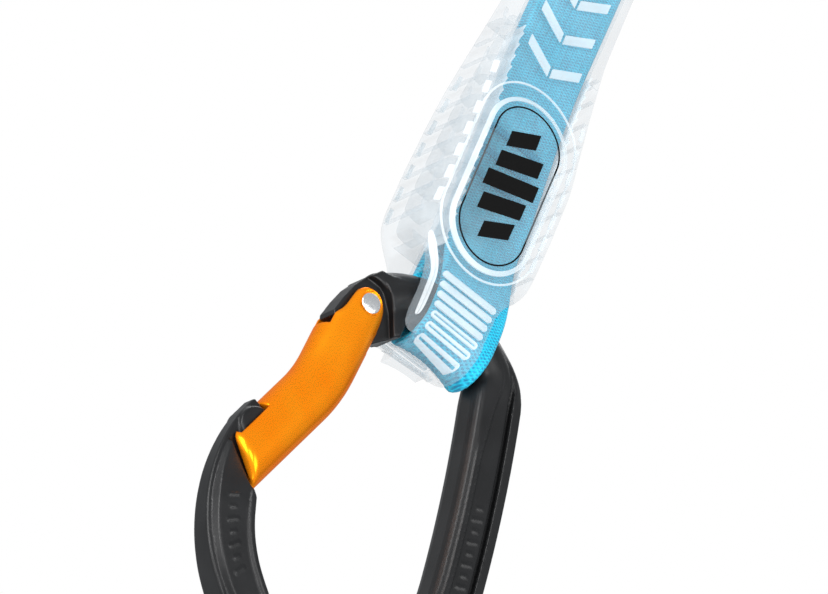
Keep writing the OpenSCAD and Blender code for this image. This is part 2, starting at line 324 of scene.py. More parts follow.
def ease(value, start, end):
    t = np.clip((value - start) / (end - start), 0, 1)
    return t * t * (3 - 2 * t)


def table(value, rows, spread):
    """Rows of (position, value) read like a curve, with the corners rounded over the spread."""
    at, values = np.array(rows, float).T
    shifts = (-1, -0.6, -0.2, 0.2, 0.6, 1)
    return sum(np.interp(value + shift * spread, at, values) for shift in shifts) / len(shifts)


def polygon(px, py, points):
    """Distance to an outline whose points may themselves vary, negative inside."""
    nearest, sign = 1e9, 1.0
    for (ax, ay), (bx, by) in zip(points, points[1:] + points[:1]):
        ex, ey = bx - ax, by - ay
        wx, wy = px - ax, py - ay
        t = np.clip((wx * ex + wy * ey) / (ex * ex + ey * ey + 1e-12), 0, 1)
        nearest = np.minimum(nearest, (wx - ex * t) ** 2 + (wy - ey * t) ** 2)
        above, below, left = py >= ay, py < by, ex * wy > ey * wx
        crossed = (above & below & left) | ~(above | below | left)
        sign = np.where(crossed, -sign, sign)
    return sign * np.sqrt(nearest)


# Cells along each side of a block of the coarse search, and how far from a block's middle, in block
# sides, the surface is still looked for
BLOCK, SEARCH_REACH = 4, 1.392


def sampled(field, low, high, step):
    """The field at the corners of every cell. Blocks far from the surface take their middle's value."""
    blocks = np.ceil((np.array(high) - low) / (step * BLOCK)).astype(int)
    middles = [low[i] + (np.arange(blocks[i]) + 0.5) * BLOCK * step for i in range(3)]
    coarse = field(*[m.ravel() for m in np.meshgrid(*middles, indexing="ij")]).reshape(blocks)
    near = np.abs(coarse) < step * BLOCK * SEARCH_REACH
    for axis in range(3):
        near = np.repeat(near, BLOCK, axis)
        coarse = np.repeat(coarse, BLOCK, axis)
    cells = blocks * BLOCK
    wanted = np.zeros(cells + 1, bool)
    for i, j, k in np.ndindex(2, 2, 2):
        wanted[i:cells[0] + i, j:cells[1] + j, k:cells[2] + k] |= near
    values = np.pad(coarse, ((0, 1), (0, 1), (0, 1)), "edge")
    at = np.nonzero(wanted)
    values[at] = field(*[low[i] + at[i] * step for i in range(3)])
    return values


def crossings(field, values, low, step, axis):
    """Edges along one axis that cross the surface: the cell corner they start from, whether they
    lead outwards, and the place and the outward direction of the surface on them."""
    solid = values < 0
    starts, ends = [slice(None)] * 3, [slice(None)] * 3
    starts[axis], ends[axis] = slice(0, -1), slice(1, None)
    at = np.array(np.nonzero(solid[tuple(starts)] != solid[tuple(ends)]))
    other = at.copy()
    other[axis] += 1
    a, b = values[tuple(at)], values[tuple(other)]
    t = a / (a - b)
    place = low[:, None] + at * step
    for _ in range(2):
        place[axis] = low[axis] + (at[axis] + t) * step
        t = np.clip(t - field(*place) / (b - a), 0, 1)
    place[axis] = low[axis] + (at[axis] + t) * step
    slope = np.empty_like(place)
    for i in range(3):
        shift = np.zeros((3, 1))
        shift[i] = 0.12 * step
        slope[i] = field(*(place + shift)) - field(*(place - shift))
    slope /= np.linalg.norm(slope, axis=0) + 1e-12
    return at, a < 0, place, slope


def cells_round(at, size, axis):
    """Numbers of the four cells round each edge along the axis, in turning order."""
    u, v = (axis + 1) % 3, (axis + 2) % 3
    ring = []
    for du, dv in ((1, 1), (0, 1), (0, 0), (1, 0)):
        cell = at.copy()
        cell[u] -= du
        cell[v] -= dv
        ring.append((cell[0] * size[1] + cell[1]) * size[2] + cell[2])
    return np.array(ring)


def meeting_points(index, places, slopes):
    """For each cell, the point that lies nearest to the tangent planes of all its crossings."""
    count = np.bincount(index)

    def total(weights):
        return np.bincount(index, weights)

    mean = np.array([total(places[i]) / count for i in range(3)])
    along = (slopes * (places - mean[:, index])).sum(0)
    matrix = np.empty((len(count), 3, 3))
    vector = np.empty((len(count), 3))
    for i in range(3):
        vector[:, i] = total(slopes[i] * along)
        for j in range(i, 3):
            matrix[:, i, j] = matrix[:, j, i] = total(slopes[i] * slopes[j])
    pull_to_mean = 0.04
    matrix[:, range(3), range(3)] += pull_to_mean * count[:, None]
    return mean.T + np.linalg.solve(matrix, vector[..., None])[..., 0]


def contour(field, low, high, step):
    """Mesh of the surface where the field is zero. Each crossed cell holds one vertex, where the
    tangent planes of its crossings meet, so that edges stay sharp."""
    low = np.array(low, float)
    values = sampled(field, low, high, step)
    size = values.shape
    cell_ids, places, slopes, faces = [], [], [], []
    for axis in range(3):
        at, outward, place, slope = crossings(field, values, low, step, axis)
        ring = cells_round(at, size, axis)
        faces.append(np.where(outward[None], ring, ring[::-1]).T)
        cell_ids.append(ring.ravel())
        places.append(np.tile(place, 4))
        slopes.append(np.tile(slope, 4))
    ids, index = np.unique(np.concatenate(cell_ids), return_inverse=True)
    vertices = meeting_points(index, np.concatenate(places, 1), np.concatenate(slopes, 1))
    corner = np.stack([ids // (size[1] * size[2]), ids // size[2] % size[1], ids % size[2]], 1)
    cell_low = low + corner * step
    vertices = np.clip(vertices, cell_low + 0.01 * step, cell_low + 0.99 * step)
    return vertices, np.searchsorted(ids, np.concatenate(faces))


# -------- pieces


def add_piece(name, points, faces, material, slot, sharp=None):
    """A mesh piece from points in metres, in the row frame, and faces of 3 or 4 corners."""
    mesh = bpy.data.meshes.new(name)
    mesh.from_pydata(np.asarray(points, float).tolist(), [], [list(map(int, face)) for face in faces])
    mesh.validate()
    mesh.shade_smooth()
    if sharp:
        mesh.set_sharp_from_angle(angle=math.radians(sharp))
    mesh.materials.append(material)
    piece = bpy.data.objects.new(name, mesh)
    bpy.context.scene.collection.objects.link(piece)
    return piece


def sweep(path, across, outline):
    """An outline carried along a path, as a ring of points at each point of the path. across gives
    the outline's two axes there, and outline gives its points there, as pairs."""
    return [at + np.asarray(o)[:, :1] * a + np.asarray(o)[:, 1:] * b
            for at, (a, b), o in zip(path, across, outline)]


def ring_faces(n, m, closed):
    """Faces between n rings of m points. closed joins the last ring to the first."""
    faces = []
    for i in range(n if closed else n - 1):
        j = (i + 1) % n
        for k in range(m):
            following = (k + 1) % m
            faces.append([i * m + k, i * m + following, j * m + following, j * m + k])
    return faces


def capped(rings, start, end):
    """Points and faces of rings that a start point and an end point close."""
    n, m = len(rings), len(rings[0])
    last = (n - 1) * m
    faces = ring_faces(n, m, False)
    for k in range(m):
        following = (k + 1) % m
        faces.append([n * m, following, k])
        faces.append([n * m + 1, last + k, last + following])
    return np.concatenate([*rings, [start, end]]), faces


def circle(sides):
    turn = np.arange(sides) * 2 * math.pi / sides
    return np.stack([np.cos(turn), np.sin(turn)], 1)


def tube(path, radius, sides=8):
    """Points and faces of a capped round tube along a path."""
    path = np.asarray(path, float)
    tangent = np.gradient(path, axis=0)
    tangent /= np.linalg.norm(tangent, axis=1)[:, None]
    normal = np.cross(tangent[0], (0.3, 0.9, 0.2))
    across = []
    for t in tangent:
        normal = normal - t * normal.dot(t)
        normal /= np.linalg.norm(normal)
        across.append((normal, np.cross(t, normal)))
    rings = sweep(path, across, [circle(sides) * radius] * len(path))
    return capped(rings, path[0], path[-1])


def joined(parts):
    points, faces, offset = [], [], 0
    for p, f in parts:
        points.append(p)
        faces += [[i + offset for i in face] for face in f]
        offset += len(p)
    return np.concatenate(points), faces


# -------- carabiner body

ARCS = ((28.2, 226.6), (55, 248), (16.2, 348), (74, 369), (290, 376.5), (6.8, 414.9), (20.2, 493))
ARCH = (-0.8, -18.8)
NOSE_START = 160.0
SHELF_START = 170.0
SHELF = (-25.4, -53.1)
SHELF_SLOPE = math.radians(41.4)
GATE_R = 5.35
HALF_W, HALF_T = 4.8, 4.7


def direction(degrees):
    return np.array([math.cos(math.radians(degrees)), math.sin(math.radians(degrees))])


def arc_centres():
    centres = [np.array(ARCH)]
    for (r, end), (r_next, _) in zip(ARCS[-2::-1], ARCS[:0:-1]):
        centres.insert(0, centres[0] + (r_next - r) * direction(end))
    return centres


CENTRES = arc_centres()
NOSE = CENTRES[0] + 29.3 * direction(166)


def track(x, z):
    """Offset outwards from the centreline of the body, distance along it from the shelf, and
    distance past its ends."""
    best = np.full(np.shape(x), 1e9)
    off, along, past = np.zeros_like(best), np.zeros_like(best), np.zeros_like(best)
    start = NOSE_START
    length = math.radians(NOSE_START - SHELF_START) * ARCS[0][0]
    for (r, end), (cx, cz) in zip(ARCS, CENTRES):
        middle = (start + end) / 2
        angle = middle + (np.degrees(np.arctan2(z - cz, x - cx)) - middle + 180) % 360 - 180
        angle = np.radians(np.clip(angle, start, end))
        c, s = np.cos(angle), np.sin(angle)
        ex, ez = x - cx - r * c, z - cz - r * s
        distance = np.hypot(ex, ez)
        nearer = distance < best
        best = np.where(nearer, distance, best)
        off = np.where(nearer, ex * c + ez * s, off)
        past = np.where(nearer, np.abs(ez * c - ex * s), past)
        along = np.where(nearer, length + r * (angle - math.radians(start)), along)
        length += r * math.radians(end - start)
        start = end
    return off, along, past


# Stations along the body: distance, offset and height of the ridge, panel height, outer corner of
# the panel (offset and height), edge of the groove (offset and height), rim height, groove depth
STATIONS = np.array([
    [-6, -3.0, 2.8, 2.4, 3.3, 2.3, 3.9, 1.75, 1.75, 0.0],
    [2, -3.0, 3.1, 2.6, 3.3, 2.5, 4.0, 1.75, 1.75, 0.0],
    [13, -3.0, 4.7, 4.1, 3.2, 3.95, 4.0, 2.1, 2.0, 0.0],
    [27, -2.8, 4.7, 4.1, 3.0, 4.05, 3.6, 2.9, 2.7, 0.1],
    [46, -2.5, 4.7, 4.1, 2.3, 4.1, 2.7, 3.7, 3.6, 0.8],
    [62, -2.4, 4.7, 4.1, 1.4, 4.1, 1.6, 4.05, 4.3, 1.2],
    [128, -2.4, 4.7, 4.1, 1.3, 4.1, 1.55, 4.05, 4.4, 1.2],
    [137, -1.4, 4.7, 4.1, 1.3, 4.1, 1.55, 4.05, 4.4, 1.2],
    [145, 0.2, 4.7, 4.3, 1.3, 4.3, 1.55, 4.2, 4.4, 0.7],
])


def forged_section(u, y, s):
    """Section of the forging: broad inner flange with a ridge, sunk panel, groove and outer rim."""
    ridge, top, panel, edge_u, edge_y, lip_u, lip_y, rim, depth = (
        table(s, STATIONS[:, (0, i)], 2.0) for i in range(1, 10))
    r = 0.3
    wall = HALF_W - r
    points = [
        (-wall, 0 * s - 1), (-wall, top - 3.0), (-wall + 0.2, top - 2.1), (-wall + 0.6, top - 1.3),
        (-wall + 1.2, top - 0.75), (ridge - 0.7, top - r - 0.12), (ridge - 0.15, top - r),
        (ridge + 0.35, panel - r), (edge_u, edge_y - r), (lip_u, lip_y - r),
        (lip_u + 0.1, lip_y - r - depth), (np.minimum(lip_u + 1.5, wall - 0.15), lip_y - r - depth),
        (np.minimum(lip_u + 1.6, wall - 0.1), rim - r), (wall, rim - r - 0.2), (wall, 0 * s - 1),
    ]
    return polygon(u, y, points) - r


def shelf_height(x, z):
    return (x - SHELF[0]) * math.sin(SHELF_SLOPE) + (z - SHELF[1]) * math.cos(SHELF_SLOPE)


# Radius and half thickness of the nose's head, half thickness of its neck
HEAD_R, HEAD_T, NECK_T = 3.6, 2.8, 1.8
# Distance along the body up to which it counts as the nose
NOSE_END = 25
# Half thicknesses of the hinge block and of the tail between the gate's ears, radius of the ears' room
BLOCK_T, TAIL_T, EAR_ROOM = 3.95, 2.4, 5.75
RIVET_HOLE = 1.25
RELIEF_HEIGHT = 0.17
# Distance along the body where it turns from the forged section into the round sling bar
ROUND_FROM, ROUND_TO = 138.5, 149.5
HINGE_OUTLINE = [
    (2.2, 8.4), (-0.1, 8.0), (-1.7, 5.8), (-3.2, 2.8), (-4.2, -0.6), (-4.9, -4.1), (-4.6, -4.9),
    (-3, -4.6),
]
BLOCK_OUTLINE = [(5.8, -3.9), (8.0, -1.5), (8.6, -1.1), (8.8, 1.2), (8.8, 7.2), (7, 9.6)]


def cam_points(lean):
    return [tuple((4.3 + 2.4 * max(0, a) / 30) * direction(a - 90 - lean)) for a in range(-12, 37, 6)]


def relief(off, along):
    """Raised hatching on the panels of the two long sides. Positive inside a stroke."""
    best = np.full(np.shape(along), -1.0)
    for start, middle, count in ((13.0, 0.5, 7), (88.0, -0.1, 14)):
        stroke = np.clip(np.round((along - start) / 2.3), 0, count - 1)
        slant = along - start - 2.3 * stroke - 0.3 * (off - middle)
        reach = np.where(stroke % 2 == 0, 1.3, 0.8)
        best = np.maximum(best, np.minimum(0.42 - np.abs(slant), reach - np.abs(off - middle)))
    return best


def beam_field(y, off, along, past):
    """The forged section carried along the track, turning into the round sling bar."""
    beam = forged_section(off, y, along)
    beam = smooth_max(beam, past - 0.6, 0.4)
    beam = beam - RELIEF_HEIGHT * np.clip(relief(off, along) / 0.25, 0, 1)
    round_bar = np.maximum(np.hypot(off, y) - HALF_T, past - 0.6)
    return beam + (round_bar - beam) * ease(along, ROUND_FROM, ROUND_TO)


def nose_field(x, y, z, off, beam):
    """The neck and head that the gate closes over."""
    neck = smooth_max(np.maximum(y - NECK_T, -2.4 - off), beam, 0.3)
    head = np.hypot(x - NOSE[0], z - NOSE[1]) - HEAD_R
    head = smooth_max(head, y - HEAD_T, 0.7)
    return smooth_min(neck, head, 0.5)


def hinge_field(gx, y, gz, lean):
    """The hinge block with its room for the gate's ears, on the thinner tail that goes between them."""
    tail = polygon(gx, gz, HINGE_OUTLINE + cam_points(lean) + BLOCK_OUTLINE)
    block = smooth_max(tail, y - BLOCK_T, 0.6)
    turned = math.radians(30 - lean)
    sx = gx * math.cos(turned) + gz * math.sin(turned)
    sz = gz * math.cos(turned) - gx * math.sin(turned)
    swept = np.maximum(np.maximum(sx - 5.65, -3 - sx), np.maximum(sz, -14 - sz))
    pocket = np.minimum(np.hypot(gx, gz) - EAR_ROOM, swept)
    pocket = np.minimum(pocket, np.maximum(gx - 3, gz))
    block = smooth_max(block, -np.maximum(pocket, TAIL_T - y), 0.25)
    return np.minimum(block, smooth_max(tail, y - TAIL_T, 0.5))


def body_field(lean):
    def field(x, y, z):
        y = np.abs(y)
        off, along, past = track(x, z)
        beam = beam_field(y, off, along, past)
        height = shelf_height(x, z)
        at_nose = along < NOSE_END
        below = np.where(at_nose, smooth_max(beam, height, 0.35), beam)
        nose = np.maximum(nose_field(x, y, z, off, beam), -height - 0.3)
        body = np.minimum(below, np.where(at_nose, nose, 50.0))
        gx, gz = x - RIVET[0], z - RIVET[1]
        body = smooth_min(body, hinge_field(gx, y, gz, lean), 0.5)
        return np.maximum(body, -(np.hypot(gx, gz) - RIVET_HOLE))
    return field


# -------- gates

# Outer edge of the gate's ears: height over the rivet, offset
EAR_EDGE = ((-6, -7.2), (-5.0, -5.5), (-4.2, -4.4), (-2.6, -3.6), (0, -3.2), (3.5, -2.6), (6, -2.2))
# Radius of the ears, half width of the slot between them
EAR_R, EAR_SLOT = 5.35, 2.6
# Half widths of the slots for the nose's head and neck, radius of the room round the head
HEAD_SLOT, NECK_SLOT, HEAD_ROOM = 3.1, 2.1, 4.2
# Bore for the plunger, sunk seat of the rivet's head and hole for its shank
BORE_R, BORE_DEPTH = 1.75, 19
SEAT_R, SEAT_Y, PIN_R = 2.35, 4.85, 1.2


def gate_coordinates(x, z, lean):
    a = math.radians(lean)
    dx, dz = x - RIVET[0], z - RIVET[1]
    return dx * math.cos(a) - dz * math.sin(a), dx * math.sin(a) + dz * math.cos(a)


def gate_tube(x, y, z, lean, bent):
    """Distance from the gate's tube, endless both ways."""
    gx, gz = gate_coordinates(x, z, lean)
    if not bent:
        return np.hypot(gx, y) - GATE_R
    start, r, bend = 13.4, 30.0, math.radians(16.7)
    px, pz = gx + r, gz + start
    angle = np.arctan2(-pz, np.maximum(px, 1.0))
    on_arc = np.hypot(px, pz) - r
    after = px * math.cos(bend) - pz * math.sin(bend) - r
    side = np.where(angle < 0, gx, np.where(angle > bend, after, on_arc))
    return np.hypot(side, y) - GATE_R


def nose_slots(x, y, z):
    """Room for the nose's head and neck, swept round the rivet as the gate opens."""
    reach = math.hypot(NOSE[0] - RIVET[0], NOSE[1] - RIVET[1])
    nose_angle = math.atan2(NOSE[1] - RIVET[1], NOSE[0] - RIVET[0])
    dx, dz = x - RIVET[0], z - RIVET[1]
    rho = np.hypot(dx, dz)
    turn = (np.arctan2(dz, dx) - nose_angle + math.pi) % (2 * math.pi) - math.pi
    opened = -0.7 * rho - turn * rho
    head = np.maximum(np.abs(rho - reach) - HEAD_ROOM, np.maximum(turn * rho, opened))
    head = np.minimum(head, np.hypot(x - NOSE[0], z - NOSE[1]) - HEAD_ROOM)
    head = np.maximum(head, y - HEAD_SLOT)
    neck = np.maximum(reach + 2 - rho, np.maximum(turn * rho - 5.0, opened))
    neck = np.maximum(neck, y - NECK_SLOT)
    return np.minimum(head, neck)


def ears_cut(gx, y, gz, gate):
    """Rounds the gate's upper end, opens it on the outside and slots it for the tail."""
    ear = np.where(gz > -2.6, np.hypot(gx + 0.5, gz + 2.6) - EAR_R, -2.0)
    gate = smooth_max(gate, ear, 0.9)
    edge = table(gz, EAR_EDGE, 0.7)
    opened = np.maximum(0.75 * (gx - edge), -5.6 - gz)
    slot = np.maximum(y - EAR_SLOT, -7.2 - gz)
    return smooth_max(smooth_max(gate, -slot, 0.4), -opened, 1.0)


def gate_field(lean, bent):
    def field(x, y, z):
        gx, gz = gate_coordinates(x, z, lean)
        gate = gate_tube(x, y, z, lean, bent)
        y = np.abs(y)
        gate = ears_cut(gx, y, gz, gate)
        gate = smooth_max(gate, -nose_slots(x, y, z), 0.5)
        gate = smooth_max(gate, 0.45 - shelf_height(x, z), 1.7)
        bore = np.maximum(np.hypot(gx, y) - BORE_R, np.maximum(gz, -BORE_DEPTH - gz))
        gate = np.maximum(gate, -bore)
        seat = np.maximum(np.hypot(gx, gz) - SEAT_R, SEAT_Y - y)
        return np.maximum(gate, -np.minimum(seat, np.hypot(gx, gz) - PIN_R))
    return field


# Name, place, lean of the closed gate in degrees, whether it is bent, its material
SIDES = (("lower", LOWER, 2.0, True, "orange_anodised"), ("upper", UPPER, 11.55, False, "grey_anodised"))


def make_forgings(materials):
    body_step = 0.31
    gate_step = 0.26
    for side, place, lean, bent, colour in SIDES:
        points, faces = contour(body_field(lean), (-39, -5.6, -89.5), (29.5, 5.6, 7.5), body_step)
        body = add_piece(side + "_forging", place.world(points), faces, materials["black_anodised"],
                         "black_anodised")
        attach(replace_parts(body, side + "_carabiner_body"), side + "_carabiner")
        points, faces = contour(gate_field(lean, bent), (-39, -6.2, -56), (-5, 6.2, -3), gate_step)
        gate = add_piece(side + "_gate_tube", place.world(points), faces, materials[colour], colour)
        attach(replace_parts(gate, side + "_gate"), side + "_gate")


# -------- small steel pieces

RIVET_DOME_R, RIVET_TOP = 2.0, 5.42
COIL_R, WIRE_R, COIL_TURNS = 1.25, 0.2, 6
# Distances from the rivet, down the gate, to the coil's top and bottom
COIL_TOP, COIL_BOTTOM = 11.1, 18.7


def rivet_profile():
    """(radius, y) pairs of the rivet: a domed head, a step down to the shank, and the same again."""
    angles = [math.radians(a) for a in range(12, 91, 6)]
    dome = [(RIVET_DOME_R * math.sin(a) ** 0.9, RIVET_TOP - 0.42 * (1 - math.cos(a)) ** 1.1)
            for a in angles]
    half = [(0.0, 5.45)] + dome + [(2.02, 4.93), (1.2, 4.9), (1.2, 2.0)]
    return half + [(r, -y) for r, y in half[::-1]]


def make_rivet(side, place, material):
    """The profile turned about the y axis."""
    start, *steps, end = rivet_profile()
    x, z = circle(40).T
    rings = [np.stack([r * x, y + 0 * x, r * z], 1) for r, y in steps]
    points, faces = capped(rings, (0, start[1], 0), (0, end[1], 0))
    points = points + np.array([RIVET[0], 0, RIVET[1]])
    rivet = add_piece(side + "_rivet", place.world(points), faces, material, "rivet_steel", 50)
    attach(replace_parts(rivet, side + "_gate_rivet"), side + "_gate")


def coil_path(down, aside):
    """Middle of the wire. Its turns lie closer at both ends."""
    per_turn = 20
    steps = COIL_TURNS * per_turn
    path = []
    for i in range(steps + 1):
        w = 2 * math.pi * i / per_turn
        lift = COIL_TOP + (COIL_BOTTOM - COIL_TOP) * (0.04 + 0.92 * ease(i / steps, -0.05, 1.05))
        across = aside * math.cos(w) + np.array([0, math.sin(w), 0])
        path.append(np.array([RIVET[0], 0, RIVET[1]]) + down * lift + COIL_R * across)
    return path


def make_coil(side, place, lean, material):
    a = math.radians(lean)
    down = np.array([-math.sin(a), 0, -math.cos(a)])
    aside = np.array([math.cos(a), 0, -math.sin(a)])
    points, faces = tube(coil_path(down, aside), WIRE_R)
    spring = add_piece(side + "_coil", place.world(points), faces, material, "spring_steel", 60)
    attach(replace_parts(spring, side + "_gate_spring"), side + "_gate")
    anchor = place.world(np.array([RIVET[0], 0, RIVET[1]]) + down * COIL_BOTTOM)
    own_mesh(spring)


def make_steel(materials):
    for side, place, lean, _, _ in SIDES:
        make_rivet(side, place, materials["rivet_steel"])
        make_coil(side, place, lean, materials["spring_steel"])
        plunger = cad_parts[side + "_gate_plunger"]
        plunger.data.materials.clear()
        plunger.data.materials.append(materials["spring_steel"])


# -------- sling

# Middle and radius of the end loops, heights over the bar where the plies start and stop closing in
LOOP_Z, LOOP_R, LEG_Z, JOIN_Z = -2.0, 6.0, 1.0, 24.0
# Distance of each ply from the sling's middle, its thickness, the pitches of its strands and stitches
PLY_Y, PLY_T, STRAND_PITCH, STITCH_PITCH = 1.12, 1.9, 1.33, 1.3
# Height over the bar, left and right edge of the webbing
EDGES = np.array([
    [-9, -7.3, 7.9], [3, -7.6, 7.8], [16, -9.2, 6.9], [26, -9.7, 6.8], [36, -10.3, 5.8],
    [47, -10.9, 4.8], [58, -11.7, 4.2],
])
# Depth of a bend below the upper bar and half the length it would be spread over; make_webbing only works
# out the ends of that span and does not bend the webbing
BEND_DROP, BEND_HALF = 27.0, 9.0
# How much higher than the arched bar the end loops lie
LOOP_LIFT = 1.2


def ply_centre(z):
    """Distance of a ply's middle from the sling's middle plane, at height z above its bar."""
    t = np.clip((z - LEG_Z) / (JOIN_Z - LEG_Z), 0, 1)
    return PLY_Y + (LOOP_R - PLY_Y) * (1 - t * t * (3 - 2 * t)) ** 1.15


def strap_path():
    """The whole closed band, seen from its edge, as (y, z) in the lower carabiner's frame."""
    step = 0.45
    swing = np.linspace(math.pi, 2 * math.pi, 44)
    lower = [(LOOP_R * math.cos(a), LOOP_Z + LOOP_R * math.sin(a)) for a in swing]
    rise = np.arange(LOOP_Z + 0.3, BAR_DISTANCE / 2, step)
    back = [(float(ply_centre(z)), float(z)) for z in rise]
    path = lower + back + [(y, BAR_DISTANCE - z) for y, z in back[::-1]]
    path += [(y, BAR_DISTANCE - z) for y, z in lower[::-1]]
    path += [(-y, BAR_DISTANCE - z) for y, z in back] + [(-y, z) for y, z in back[::-1]]
    return np.array(path)


def sag(x, z):
    """How far the arched bar lies below its middle at x, fading out above the bar."""
    across = np.clip(x, -13, 8) - ARCH[0]
    return (20.0 - np.sqrt(20.2 ** 2 - across ** 2)) * (1 - ease(z, -3, 7))


def strap_edges(z):
    """Left and right edge of the webbing at height z."""
    low = np.minimum(z, BAR_DISTANCE - z)
    return table(low, EDGES[:, (0, 1)], 3.0), table(low, EDGES[:, (0, 2)], 3.0)


def strap_section(z, travelled, columns):
    """Outline of the webbing at one point of its path: ribbed outside, smooth inside, thin edges."""
    left, right = strap_edges(z)
    t = np.linspace(-1, 1, columns + 1)
    x = (left + right) / 2 + (right - left) / 2 * t
    edge = np.clip((1 - np.abs(t)) * (right - left) / 2 / 0.8, 0, 1)
    half = PLY_T / 2 * np.sqrt(1 - (1 - edge) ** 2 * 0.9)
    wander = 0.8 * math.sin(travelled * math.pi / STITCH_PITCH)
    ribs = 0.10 * np.sin(x * 2 * math.pi / STRAND_PITCH + wander)
    shift = (np.arange(columns + 1) % 2) * math.pi
    weave = 0.05 * np.sin(travelled * 2 * math.pi / STITCH_PITCH + shift)
    outer = half + (ribs + weave) * edge
    return x, list(zip(x, outer)) + list(zip(x[::-1], -half[::-1]))


def make_webbing(materials):
    path = strap_path()
    tangent = np.roll(path, -1, 0) - np.roll(path, 1, 0)
    tangent /= np.linalg.norm(tangent, axis=1)[:, None]
    normal = np.stack([tangent[:, 1], -tangent[:, 0]], 1)
    travelled = np.concatenate([[0], np.cumsum(np.linalg.norm(np.diff(path, axis=0), axis=1))])
    rows, drops = [], []
    for (_, z), distance in zip(path, travelled):
        x, ring = strap_section(z, distance, columns=46)
        low = min(z, BAR_DISTANCE - z)
        drops.append(sag(x, low) - LOOP_LIFT * (1 - ease(low, -3, 7)))
        rows.append(ring)
    at = np.stack([np.zeros(len(path)), path[:, 0], path[:, 1]], 1)
    across = [(np.array([1.0, 0, 0]), np.array([0.0, a, b])) for a, b in normal]
    points = np.concatenate(sweep(at, across, rows))
    faces = [face[::-1] for face in ring_faces(len(rows), len(rows[0]), True)]
    upper = np.where(path[:, 1] > BAR_DISTANCE / 2, -1, 1)
    points[:, 2] -= np.concatenate([side * np.concatenate([d, d[::-1]]) for side, d in zip(upper, drops)])
    band = add_piece("sling_band", LOWER.world(points), faces, materials["webbing"], "webbing", 60)
    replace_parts(band, "sling_upper_loop", "sling_webbing")
    bend = BAR_DISTANCE - BEND_DROP
    start = LOWER.world([0, 0, bend + BEND_HALF])
    end = LOWER.world([0, 0, bend - BEND_HALF])
    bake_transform(band)


def zigzag(low, high, side, z):
    """Path of one row of stitches across the webbing, in mm of the row frame."""
    zigs, height = 44, 0.72 * MM
    path = []
    for i in range(zigs + 1):
        x = low.x + (high.x - low.x) * i / zigs
        rise = height if i % 2 else -height
        path.append((x, side * (high.y - 0.16 * MM), z + rise))
        path.append((x + 0.1 * MM, side * (high.y - 0.1 * MM), z + rise * 0.8))
    return np.array(path) / MM


def make_stitching(materials):
    for node in ("upper_bar_tacks", "middle_bar_tacks", "lower_bar_tacks"):
        low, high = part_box(node)
        count = 3 if node == "lower_bar_tacks" else 2
        parts = []
        for row in range(count):
            z = low.z + 0.85 * MM + row * (high.z - low.z - 1.7 * MM) / (count - 1)
            for side in (-1, 1):
                parts.append(tube(zigzag(low, high, side, z), 0.17, 6))
        points, faces = joined(parts)
        colour = "blue_thread" if node == "lower_bar_tacks" else "thread"
        piece = add_piece(node.replace("bar_tacks", "stitching"), points * MM, faces, materials[colour],
                          "thread", 60)
        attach(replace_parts(piece, node), "sling")


def make_label(materials):
    """A sheet a little crowned, with a thicker hem all round."""
    low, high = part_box("sling_label")
    nx, nz = 36, 30
    u, v = np.meshgrid(np.linspace(0, 1, nx + 1), np.linspace(0, 1, nz + 1))
    crown = 0.12 * np.sin(math.pi * u) * np.sin(math.pi * v)
    hem = 0.1 * ((np.minimum(u, 1 - u) < 0.06) | (np.minimum(v, 1 - v) < 0.07))
    x, z = low.x + (high.x - low.x) * u, low.z + (high.z - low.z) * v
    front = np.stack([x, high.y + (crown + hem - 0.1) * MM, z], 2).reshape(-1, 3)
    back = front.copy()
    back[:, 1] = low.y + 0.05 * MM
    m = len(front)
    at = np.arange(m).reshape(nz + 1, nx + 1)
    faces = []
    for k in range(nz):
        for i in range(nx):
            quad = [at[k, i], at[k, i + 1], at[k + 1, i + 1], at[k + 1, i]]
            faces.append(quad[::-1])
            faces.append([q + m for q in quad])
    rim = [*at[0], *at[1:, -1], *at[-1, -2::-1], *at[-2:0:-1, 0]]
    for a, b in zip(rim, rim[1:] + rim[:1]):
        faces.append([b + m, a + m, a, b])
    piece = add_piece("woven_label", np.concatenate([front, back]), faces, materials["label"], "label", 40)
    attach(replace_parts(piece, "sling_label"), "sling")


# -------- rubber keeper

KEEPER_X = (centre("rubber_keeper").x - LOWER.origin[0]) / MM
# Edges of the strap that goes round the bar
STRAP_LEFT, STRAP_RIGHT = -11.3, 5.9
# Heights between which the flanks have pockets and ribs
RIBS_LOW, RIBS_HIGH, RIB_PITCH = 12.3, 64, 5.2
# Middle of the raised pad, half the length of its straight sides, radius of its ends
PAD_X, PAD_Z, PAD_HALF, PAD_R = -4.2, 27.6, 9.8, 9.4
# Height over the bar, left edge, right edge and half thickness of the keeper
KEEPER = np.array([
    [-14, STRAP_LEFT, STRAP_RIGHT, 8.2], [3.5, STRAP_LEFT, STRAP_RIGHT, 8.2],
    [7, -13.2, 6.1, 8.2], [11, -17.2, 8.9, 8.2], [14, -18.1, 9.4, 8.2], [24, -18.25, 9.45, 8.2],
    [36, -18.25, 9.4, 7.6], [44, -18.2, 8.6, 6.7], [54, -17.7, 7.8, 5.3], [66, -16.9, 6.9, 4.0],
    [78, -16.1, 6.7, 3.8], [93, -15.5, 6.5, 3.8],
])


def keeper_side(z, column):
    return table(z, KEEPER[:, (0, column)], 2.0)


def stadium(x, z, cx, cz, half, r):
    return np.hypot(x - cx, np.maximum(np.abs(z - cz) - half, 0)) - r


